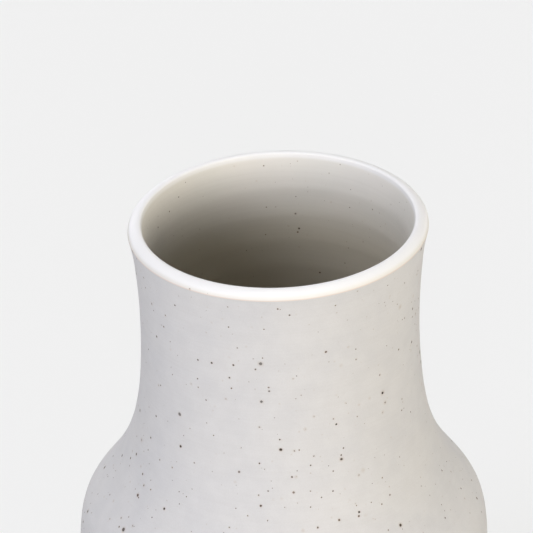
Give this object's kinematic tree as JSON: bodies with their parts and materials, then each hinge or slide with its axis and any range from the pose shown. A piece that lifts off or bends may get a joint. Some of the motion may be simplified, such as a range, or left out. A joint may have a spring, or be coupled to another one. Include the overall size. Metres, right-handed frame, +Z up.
{
  "type": "vase",
  "caption": "Free-standing stoneware vase with a wide waisted neck, a soft shoulder and a rounded belly, raw speckled clay outside and satin glaze inside.",
  "frame": {"origin": "centre of the vase, on the surface that its pads rest on", "axes": "+Z up along the turning axis; +X through foot_pad_1"},
  "size_m": [0.1566, 0.1566, 0.248],
  "materials": {
    "raw_stoneware": "bare fired clay, matte, off-white with small dark iron specks and faint turning lines",
    "satin_glaze": "thin warm white satin glaze with few specks, thin and faintly tan where it ends at the lip",
    "pad_silicone": "milky translucent silicone, satin"
  },
  "bodies": {
    "root": {"stoneware_body": "raw_stoneware", "liner_glaze": "satin_glaze", "foot_pad_1": "pad_silicone", "foot_pad_2": "pad_silicone", "foot_pad_3": "pad_silicone"}
  },
  "joints": []
}
